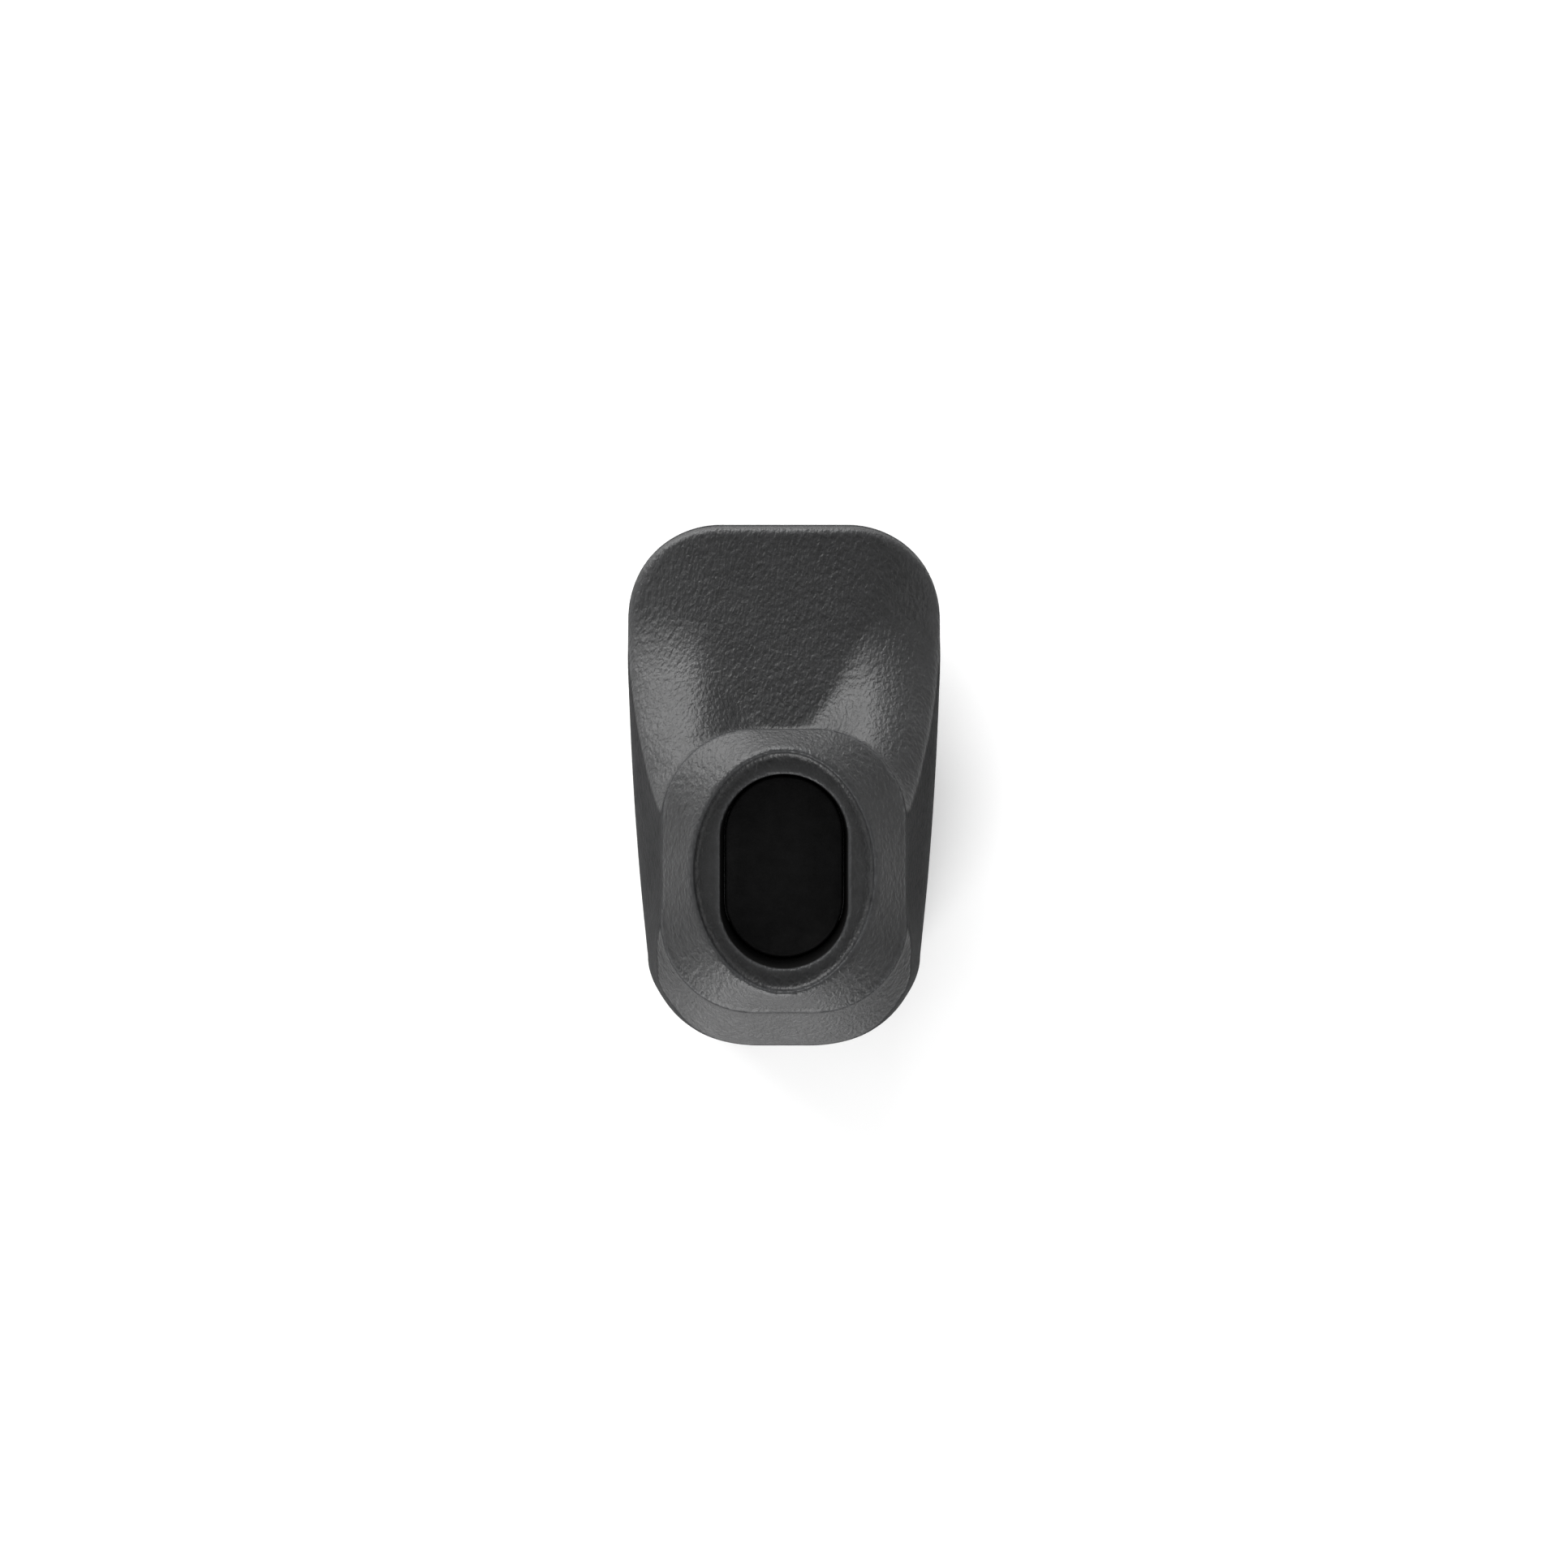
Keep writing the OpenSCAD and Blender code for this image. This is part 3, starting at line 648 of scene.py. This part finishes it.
def makeDirtPlug():
    s = plug
    low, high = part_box("dirt_plug")
    bottom, top = low.z / mm, high.z / mm
    radius = high.x / mm - s["sideGap"]
    reach = (high.y - high.x) / mm
    foot, turns = bottom + s["clear"], s["arcSteps"]
    profile = [(0.0, foot), (radius - s["footIn"], foot)]
    profile.append((radius - s["footChamfer"], bottom + s["footRise"]))
    for place in s["ribPlaces"]:
        middle = bottom + place * (top - bottom)
        for i in range(turns + 1):
            angle = math.pi * i / turns
            ribRadius = radius - s["ribRoot"] + s["ribRise"] * math.sin(angle)
            profile.append((ribRadius, middle - s["ribHalf"] * math.cos(angle)))
    for i in range(turns + 1):
        angle = math.pi / 2 * i / turns
        profile.append((radius - s["edgeRound"] * (1 - math.cos(angle)),
                        top - s["edgeRound"] * (1 - math.sin(angle))))
    # the face is dished a little towards its middle
    for i in range(1, s["faceRings"] + 1):
        share = 1 - i / s["faceRings"]
        profile.append(((radius - s["edgeRound"]) * share, top - s["dish"] * (1 - share ** 2)))
    obj = loftObround("dirtPlug", profile, reach, s["roundSteps"], rubberMaterial)
    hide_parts("dirt_plug")
    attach(obj, "plug")
    print("dirt plug made")


# the wavy spring, a strip bent round by a rule; lengths in millimetres, gapTurn in radians
spring = {
    "waves": 4.0, "thick": 0.45, "gapTurn": 0.07, "steps": 161, "sideGap": 0.1, "boreRadius": 11.5,
    "waveShare": 0.96,
}


def makeSpringRule():
    tree = bpy.data.node_groups.new("waveSpringRule", "GeometryNodeTree")
    for name in ("Inner radius", "Outer radius", "Middle height", "Wave height", "Waves", "Thickness"):
        tree.interface.new_socket(name, in_out="INPUT", socket_type="NodeSocketFloat")
    tree.interface.new_socket("Geometry", in_out="OUTPUT", socket_type="NodeSocketGeometry")
    given = addNode(tree, "NodeGroupInput").outputs
    strip = addNode(tree, "GeometryNodeMeshCube", {
        "Size": (1, 1, 1), "Vertices X": spring["steps"], "Vertices Y": 3, "Vertices Z": 2})
    place = addNode(tree, "ShaderNodeSeparateXYZ")
    connect(tree, addNode(tree, "GeometryNodeInputPosition"), "Position", place, "Vector")
    along, across, through = place.outputs
    angle = mixValues(tree, "MULTIPLY", along, 2 * math.pi - spring["gapTurn"])
    width = mixValues(tree, "SUBTRACT", given["Outer radius"], given["Inner radius"])
    bothRadii = mixValues(tree, "ADD", given["Outer radius"], given["Inner radius"])
    middle = mixValues(tree, "MULTIPLY", bothRadii, 0.5)
    radius = mixValues(tree, "ADD", mixValues(tree, "MULTIPLY", across, width), middle)
    wave = mixValues(tree, "SINE", mixValues(tree, "MULTIPLY", angle, given["Waves"]), 0.0)
    waveLift = mixValues(tree, "MULTIPLY", wave, given["Wave height"])
    lift = mixValues(tree, "ADD", waveLift, given["Middle height"])
    height = mixValues(tree, "ADD", mixValues(tree, "MULTIPLY", through, given["Thickness"]), lift)
    point = addNode(tree, "ShaderNodeCombineXYZ")
    sine, cosine = mixValues(tree, "SINE", angle, 0.0), mixValues(tree, "COSINE", angle, 0.0)
    tree.links.new(mixValues(tree, "MULTIPLY", radius, sine), point.inputs["X"])
    tree.links.new(mixValues(tree, "MULTIPLY", radius, cosine), point.inputs["Y"])
    tree.links.new(height, point.inputs["Z"])
    bend = addNode(tree, "GeometryNodeSetPosition")
    connect(tree, strip, "Mesh", bend, "Geometry")
    connect(tree, point, "Vector", bend, "Position")
    real = addNode(tree, "GeometryNodeRealizeInstances")
    connect(tree, bend, "Geometry", real, "Geometry")
    paint = addNode(tree, "GeometryNodeSetMaterial", {"Material": zincMaterial})
    connect(tree, real, "Geometry", paint, "Geometry")
    connect(tree, paint, "Geometry", addNode(tree, "NodeGroupOutput"), "Geometry")
    return tree


def bakedMesh(obj, name):
    # turns the object with its modifiers into a plain mesh
    evaluated = obj.evaluated_get(bpy.context.evaluated_depsgraph_get())
    mesh = bpy.data.meshes.new_from_object(evaluated)
    obj.modifiers.clear()
    obj.data = mesh
    mesh.name = name


def outwardFaces(mesh):
    shape = bmesh.new()
    shape.from_mesh(mesh)
    bmesh.ops.recalc_face_normals(shape, faces=shape.faces)
    if shape.calc_volume(signed=True) < 0:
        bmesh.ops.reverse_faces(shape, faces=shape.faces)
    shape.to_mesh(mesh)
    shape.free()


def makeWaveSpring():
    low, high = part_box("wave_spring")
    obj = bpy.data.objects.new("waveSpring", bpy.data.meshes.new("waveSpring"))
    bpy.context.scene.collection.objects.link(obj)
    modifier = obj.modifiers.new("rule", "NODES")
    modifier.node_group = makeSpringRule()
    thick, gap = spring["thick"] * mm, spring["sideGap"] * mm
    values = {
        "Inner radius": spring["boreRadius"] * mm + gap, "Outer radius": high.x - gap,
        "Middle height": (low.z + high.z) / 2, "Waves": spring["waves"], "Thickness": thick,
        "Wave height": (high.z - low.z - thick) / 2 * spring["waveShare"]}
    for item in modifier.node_group.interface.items_tree:
        if item.in_out == "INPUT":
            modifier[item.identifier] = values[item.name]
    bakedMesh(obj, "waveSpring")
    outwardFaces(obj.data)
    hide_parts("wave_spring")
    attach(obj, "lock")
    print("wave spring:", len(obj.data.polygons), "faces")


# the rubber behind the pressure shoe, in millimetres: keep is what is left of its length when pressed
pad = {"reach": 27.0, "round": 1.0, "roundSteps": 4, "cuts": 2, "keep": 0.78}


def makeTakeUpPad():
    low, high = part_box("take_up_pad")
    high.y = pad["reach"] * mm
    size, middle = high - low, (high + low) / 2
    shape = bmesh.new()
    bmesh.ops.create_cube(shape, size=1.0)
    for vertex in shape.verts:
        vertex.co = Vector(vertex.co[i] * size[i] + middle[i] for i in range(3))
    bmesh.ops.bevel(shape, geom=shape.edges[:], offset=pad["round"] * mm, segments=pad["roundSteps"],
                    profile=0.5, affect="EDGES")
    bmesh.ops.subdivide_edges(shape, edges=shape.edges[:], cuts=pad["cuts"], use_grid_fill=True)
    mesh = bpy.data.meshes.new("takeUpPad")
    shape.to_mesh(mesh)
    shape.free()
    mesh.polygons.foreach_set("use_smooth", np.ones(len(mesh.polygons), bool))
    mesh.set_sharp_from_angle(angle=math.radians(40))
    mesh.materials.append(rubberMaterial)
    obj = bpy.data.objects.new("takeUpPad", mesh)
    bpy.context.scene.collection.objects.link(obj)
    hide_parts("take_up_pad")
    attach(obj, "lock")
    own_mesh(obj)
    print("take-up pad made")


# machined pieces with broken edges
machined = {
    # node: (piece, body, slot, bevel in mm)
    "lock_housing": ("lockHousing", "lock", "lock_steel", 0.5),
    "lock_lid": ("lockLid", "lock", "lock_steel", 0.35),
    "cam_spindle": ("camSpindle", "spindle", "bright_steel", 0.35),
    "pressure_shoe": ("pressureShoe", "shoe", "bright_steel", 0.5),
    "foot_cap": ("footCap", "lock", "bright_steel", 0.3),
    "seat_pad": ("seatPad", "lock", "black_rubber", 0.35),
    "thrust_washer": ("thrustWasher", "lock", "bright_steel", 0.15),
    "retaining_ring": ("retainingRing", "spindle", "bright_steel", 0.15),
    "lid_screws": ("lidScrews", "lock", "bright_steel", 0.2),
    "plug_core": ("plugCore", "plug", "bright_steel", 0.25),
}
brokenEdge = {"segments": 2, "fromAngle": 40, "flatAngle": 1.5, "weldGap": 2e-6}  # degrees and metres


def makeRoundedCopy(node):
    piece, body, slotName, width = machined[node]
    source = frame["nodes"][node]
    mesh = source.data.copy()
    mesh.transform(source.matrix_world)
    shape = bmesh.new()
    shape.from_mesh(mesh)
    bmesh.ops.remove_doubles(shape, verts=shape.verts, dist=brokenEdge["weldGap"])
    flat = math.radians(brokenEdge["flatAngle"])
    bmesh.ops.dissolve_limit(shape, angle_limit=flat, verts=shape.verts, edges=shape.edges)
    shape.to_mesh(mesh)
    shape.free()
    obj = bpy.data.objects.new(piece, mesh)
    bpy.context.scene.collection.objects.link(obj)
    bevel = obj.modifiers.new("brokenEdges", "BEVEL")
    bevel.width = width * mm
    bevel.segments = brokenEdge["segments"]
    bevel.limit_method = "ANGLE"
    bevel.angle_limit = math.radians(brokenEdge["fromAngle"])
    # flat faces stay flat and only the bevels are shaded round
    mesh.polygons.foreach_set("use_smooth", np.ones(len(mesh.polygons), bool))
    weighted = obj.modifiers.new("weightedNormals", "WEIGHTED_NORMAL")
    weighted.keep_sharp = True
    bakedMesh(obj, piece)
    obj.data.materials.clear()
    obj.data.materials.append(slotMaterials[slotName])
    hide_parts(node)
    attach(obj, body)


# the other pieces keep their CAD shape
def paintCadNodes():
    slots = {row["node"]: row["material_slot"] for row in frame["record"]["subparts"]}
    for name, node in frame["nodes"].items():
        node.data.materials.clear()
        node.data.materials.append(slotMaterials[slots[name]])
    print("CAD nodes painted:", len(slots))


# floor, lights and camera, in metres and watts
studio = {
    "cameraY": 0.030, "cameraZ": 0.673, "lens": 38.6, "worldStrength": 0.28, "floorHalf": 6.0,
    "aim": (0, 0, 0.05),
    # lamp: place, width, height, power; the long ones near the horizon draw the bands on the steep faces
    "lamps": {
        "frontLight": ((-0.46, 1.15, 0.44), 1.5, 0.7, 33.0),
        "backLight": ((-0.25, -1.2, 0.42), 1.2, 0.5, 24.0),
        "leftLight": ((-1.3, 0.05, 0.5), 0.9, 0.4, 3.0),
        "rightLight": ((1.3, 0.1, 0.9), 0.9, 0.4, 6.0),
    },
}


def makeFloor():
    half = studio["floorHalf"]
    mesh = bpy.data.meshes.new("studioFloor")
    corners = [(-half, -half, 0), (half, -half, 0), (half, half, 0), (-half, half, 0)]
    mesh.from_pydata(corners, [], [(0, 1, 2, 3)])
    mesh.materials.append(makeFloorPaper())
    floor = bpy.data.objects.new("studioFloor", mesh)
    bpy.context.scene.collection.objects.link(floor)


def makeSoftLight(name, place, target, width, height, power):
    data = bpy.data.lights.new(name, "AREA")
    data.shape = "RECTANGLE"
    data.size, data.size_y = width, height
    data.energy = power
    light = bpy.data.objects.new(name, data)
    light.location = place
    light.rotation_euler = (Vector(target) - Vector(place)).to_track_quat("-Z", "Y").to_euler()
    bpy.context.scene.collection.objects.link(light)


def makeStudio():
    s = studio
    scene = bpy.context.scene
    world = bpy.data.worlds.new("studioWorld")
    world.use_nodes = True
    world.node_tree.nodes["Background"].inputs["Color"].default_value = (1, 1, 1, 1)
    world.node_tree.nodes["Background"].inputs["Strength"].default_value = s["worldStrength"]
    scene.world = world
    for name, (place, width, height, power) in s["lamps"].items():
        makeSoftLight(name, place, s["aim"], width, height, power)
    camera = bpy.data.objects.new("camera", bpy.data.cameras.new("camera"))
    camera.data.lens = s["lens"]
    camera.location = (0, s["cameraY"], s["cameraZ"])
    scene.collection.objects.link(camera)
    scene.camera = camera
    scene.view_settings.view_transform = "Standard"
    print("studio ready")


makeFloor()
makeStudio()
paintCadNodes()
makeToothCasting()
makeDirtPlug()
makeWaveSpring()
makeTakeUpPad()
for nodeName in machined:
    makeRoundedCopy(nodeName)
print("machined pieces:", len(machined))
